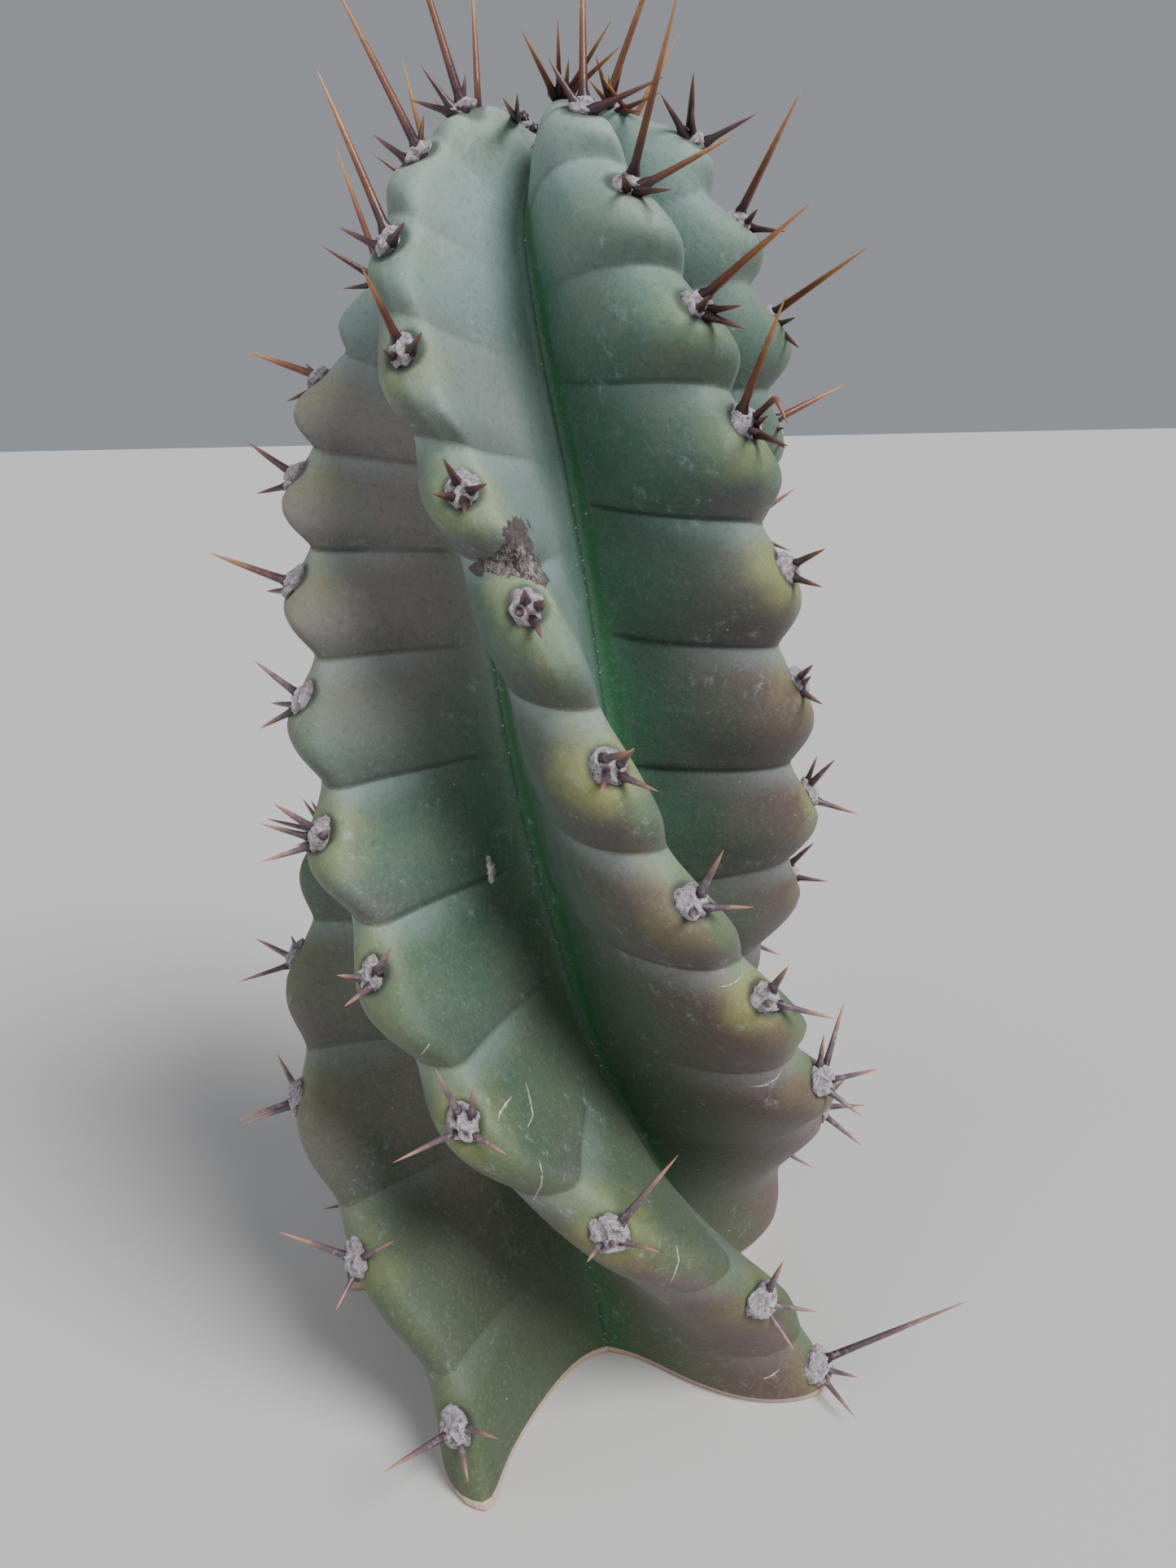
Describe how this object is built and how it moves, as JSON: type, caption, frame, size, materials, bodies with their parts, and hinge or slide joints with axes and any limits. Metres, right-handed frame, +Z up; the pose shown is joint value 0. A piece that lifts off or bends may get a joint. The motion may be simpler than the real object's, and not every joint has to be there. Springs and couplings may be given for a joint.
{
  "type": "spiral cactus cutting",
  "caption": "Upright cutting of a spiral columnar cactus: twisted, scalloped ribs with woolly spine cushions and long spines, standing on its flat star-shaped cut.",
  "frame": {"origin": "middle of the flat star-shaped cut, on the surface that the cutting stands on", "axes": "+Z up the stem to its growing tip, -Y towards the side that the picture shows, +X to the right of that view"},
  "size_m": [0.1266, 0.1157, 0.2339],
  "materials": {
    "skin": "matt, waxy blue-green skin with grey-white felt cushions and brown to orange spines"
  },
  "bodies": {
    "root": {"cactus_stem": "skin"}
  },
  "joints": []
}
